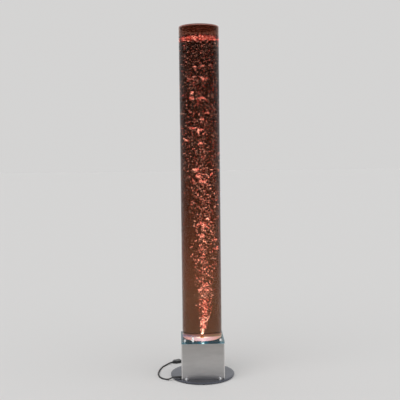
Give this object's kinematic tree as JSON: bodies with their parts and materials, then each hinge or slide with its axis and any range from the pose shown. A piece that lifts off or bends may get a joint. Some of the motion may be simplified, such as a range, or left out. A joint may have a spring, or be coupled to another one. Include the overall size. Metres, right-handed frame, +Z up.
{
  "type": "bubble tube lamp",
  "caption": "Floor-standing clear water tube with an air nozzle and colour light in its floor, on a square stainless housing with a round base disc.",
  "frame": {"origin": "on the floor under the middle of the tube, at the underside of the foot pads", "axes": "+Z up along the tube, -Y to the front, the mains lead leaves the housing towards -X"},
  "size_m": [0.3924, 0.405, 1.7615],
  "materials": {
    "acrylic": "polished",
    "water": "polished",
    "brushed": "satin",
    "polished": "polished",
    "steel": "polished",
    "brass": "satin",
    "rubber": "matte",
    "silicone": "satin",
    "grey": "satin",
    "black": "satin",
    "white": "satin",
    "tin": "satin",
    "copper": "satin",
    "core": "satin",
    "mirror": "polished",
    "tape": "satin",
    "red": "polished",
    "green": "polished",
    "blue": "polished",
    "yellow": "polished"
  },
  "bodies": {
    "stand": {"base_disc": "polished", "foot_pad_1": "rubber", "foot_pad_2": "rubber", "foot_pad_3": "rubber", "foot_pad_4": "rubber", "housing_shell": "brushed", "rear_panel": "brushed", "rear_screw_1": "steel", "rear_screw_2": "steel", "rear_screw_3": "steel", "rear_screw_4": "steel", "deck_plate": "brushed", "corner_post_1": "steel", "corner_post_2": "steel", "corner_post_3": "steel", "corner_post_4": "steel", "plate_screw_1": "steel", "plate_screw_2": "steel", "plate_screw_3": "steel", "plate_screw_4": "steel", "foot_screw_1": "steel", "foot_screw_2": "steel", "foot_screw_3": "steel", "foot_screw_4": "steel", "flange_plate": "acrylic", "tube": "acrylic", "water": "water", "air_nozzle": "brass", "nozzle_nut": "brass", "air_elbow": "brass", "upper_hose": "silicone", "check_valve": "white", "lower_hose": "silicone", "pump_base": "grey", "pump_chamber": "black", "pump_bellows": "rubber", "pump_core": "core", "pump_coil": "copper", "light_bracket": "brushed", "lamp_reflector": "mirror", "lamp_holder": "white", "wheel_motor": "tin", "transformer": "tape", "transformer_clamp": "steel", "terminal_block": "white", "switch_frame": "black", "drain_body": "steel", "cord_boot": "rubber", "mains_cord": "rubber", "mains_plug": "black"},
    "lid": {"lid": "acrylic"},
    "colour_wheel": {"wheel_frame": "tin", "wheel_shaft": "steel", "filter_red": "red", "filter_green": "green", "filter_blue": "blue", "filter_yellow": "yellow"},
    "pump_arm": {"pump_armature": "steel"},
    "drain_tap": {"drain_knob": "steel"},
    "rocker": {"switch_rocker": "grey"}
  },
  "joints": [
    {"name": "lid_lift", "type": "slide", "parent": "stand", "child": "lid", "axis": [0, 0, 1], "range_m": [0, 0.06]},
    {"name": "colour_wheel_spin", "type": "hinge", "parent": "stand", "child": "colour_wheel", "pos_m": [0, 0.022, 0.136], "axis": [0, 0, 1], "continuous": true},
    {"name": "pump_arm_swing", "type": "hinge", "parent": "stand", "child": "pump_arm", "pos_m": [-0.08, 0.0116, 0.0206], "axis": [1, 0, 0], "range_deg": [-1.5, 1.5], "stiffness_Nm_per_rad": 2},
    {"name": "drain_turn", "type": "hinge", "parent": "stand", "child": "drain_tap", "pos_m": [-0.049, -0.098, 0.206], "axis": [0, 0, 1], "range_deg": [0, 350]},
    {"name": "rocker_press", "type": "hinge", "parent": "stand", "child": "rocker", "pos_m": [0.056, 0.1113, 0.0616], "axis": [1, 0, 0], "range_deg": [-16, 0]}
  ]
}
